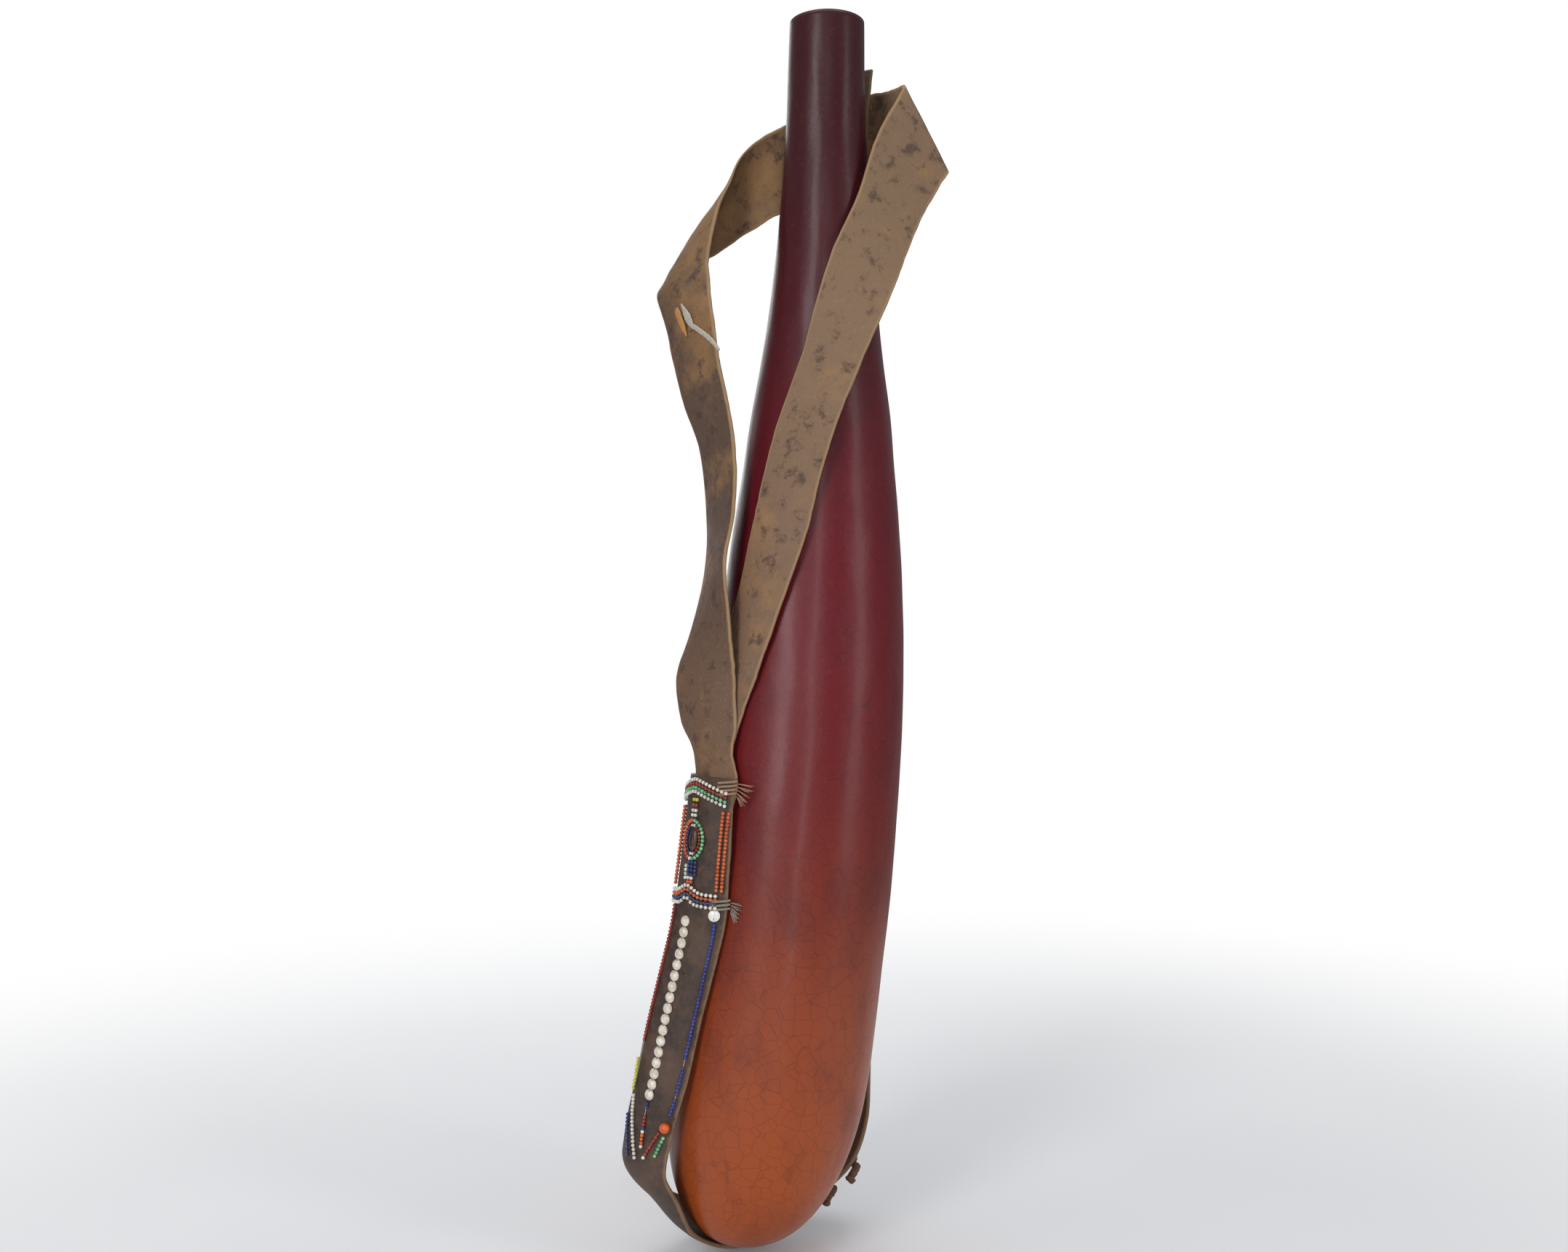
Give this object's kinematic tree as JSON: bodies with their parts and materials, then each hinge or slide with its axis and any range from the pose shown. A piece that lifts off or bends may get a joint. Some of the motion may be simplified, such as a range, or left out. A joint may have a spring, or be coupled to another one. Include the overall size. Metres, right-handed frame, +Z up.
{
  "type": "gourd water bottle",
  "caption": "Tall hollow gourd bottle with an open cut mouth, held in a dark leather sling with bead and shell work and a looped carrying strap.",
  "frame": {"origin": "centre of the mouth in the plane of the cut rim", "axes": "+Z up out of the mouth, -Y to the front with the beaded panel at its left, +X to the right seen from the front"},
  "size_m": [0.1896, 0.1219, 0.7134],
  "materials": {
    "amber": "ochre glass",
    "button": "glossy cream",
    "dark_leather": "dark oiled hide with a worn rough face",
    "glass_blue": "glass, petrol blue",
    "glass_green": "opaque glass, green",
    "glass_navy": "opaque glass, dark blue",
    "glass_orange": "opaque glass, orange",
    "glass_red": "opaque glass, brick red",
    "glass_white": "opaque glass, slightly yellowed white",
    "glass_yellow": "opaque glass, yellow",
    "gourd": "polished dried gourd skin, oxblood with an orange-brown base",
    "grey_fibre": "frayed greyish fibre",
    "knot_leather": "rough twisted leather",
    "pale_hide": "pale scraped hide",
    "plant_fibre": "frayed plant fibre",
    "seed": "polished brown seed",
    "shell": "smooth ivory shell",
    "tan_hide": "fresh-cut tan hide",
    "tan_leather": "tan and brown mottled rawhide",
    "thread": "twisted cream thread"
  },
  "bodies": {
    "root": {"gourd_shell": "gourd", "base_strap": "dark_leather", "carry_strap": "tan_leather", "strap_lace": "pale_hide", "slit_tongue": "tan_hide", "top_stitching": "plant_fibre", "bottom_stitching": "grey_fibre", "edge_knots": "knot_leather", "top_band_white": "glass_white", "top_band_red": "glass_red", "top_band_green": "glass_green", "orange_columns": "glass_orange", "centre_yellow": "glass_yellow", "centre_red": "glass_red", "centre_white": "glass_white", "medallion_seed": "seed", "inner_ring_red": "glass_red", "inner_ring_navy": "glass_navy", "inner_ring_white": "glass_white", "outer_ring_green": "glass_green", "outer_ring_orange": "glass_orange", "outer_ring_white": "glass_white", "centre_navy": "glass_navy", "centre_orange": "glass_orange", "bottom_band_white": "glass_white", "bottom_band_orange": "glass_orange", "bottom_band_navy": "glass_navy", "white_button": "button", "shell_strand": "shell", "blue_strand": "glass_blue", "amber_bead": "amber", "red_edge_strand": "glass_red", "yellow_edge_strand": "glass_yellow", "foot_red": "glass_red", "foot_green": "glass_green", "foot_white": "glass_white", "foot_navy": "glass_navy", "foot_orange": "glass_orange", "bead_thread": "thread"}
  },
  "joints": []
}
